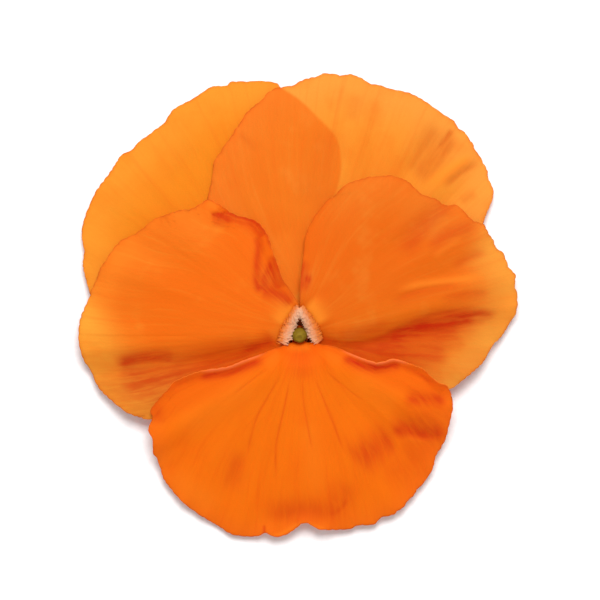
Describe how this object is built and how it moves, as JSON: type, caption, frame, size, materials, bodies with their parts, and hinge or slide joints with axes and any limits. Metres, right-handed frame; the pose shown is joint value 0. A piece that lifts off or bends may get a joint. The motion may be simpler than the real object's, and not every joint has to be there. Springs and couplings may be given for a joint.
{
  "type": "pansy flower",
  "caption": "Open pansy bloom lying face up: broad overlapping waved petals round a throat with pale beards and a green stigma, green sepals and a short cut stem behind.",
  "frame": {"origin": "middle of the bloom's box seen from above, on the surface that the bloom lies on", "axes": "+Z out of the face of the flower, +Y towards the two upper petals, +X to the right as seen from above"},
  "size_m": [0.0616, 0.0652, 0.0103],
  "materials": {
    "petal_upper": "matte",
    "petal_side": "matte",
    "petal_lip": "matte",
    "beard_hairs": "matte",
    "pistil_green": "satin",
    "anthers": "matte",
    "sepal_green": "matte",
    "stem_green": "satin"
  },
  "bodies": {
    "root": {"petal_upper_left": "petal_upper", "petal_upper_right": "petal_upper", "petal_left": "petal_side", "petal_right": "petal_side", "petal_lip": "petal_lip", "beard_left": "beard_hairs", "beard_right": "beard_hairs", "pistil": "pistil_green", "stamens": "anthers", "sepal_top": "sepal_green", "sepal_upper_left": "sepal_green", "sepal_lower_left": "sepal_green", "sepal_lower_right": "sepal_green", "sepal_upper_right": "sepal_green", "stem": "stem_green"}
  },
  "joints": []
}
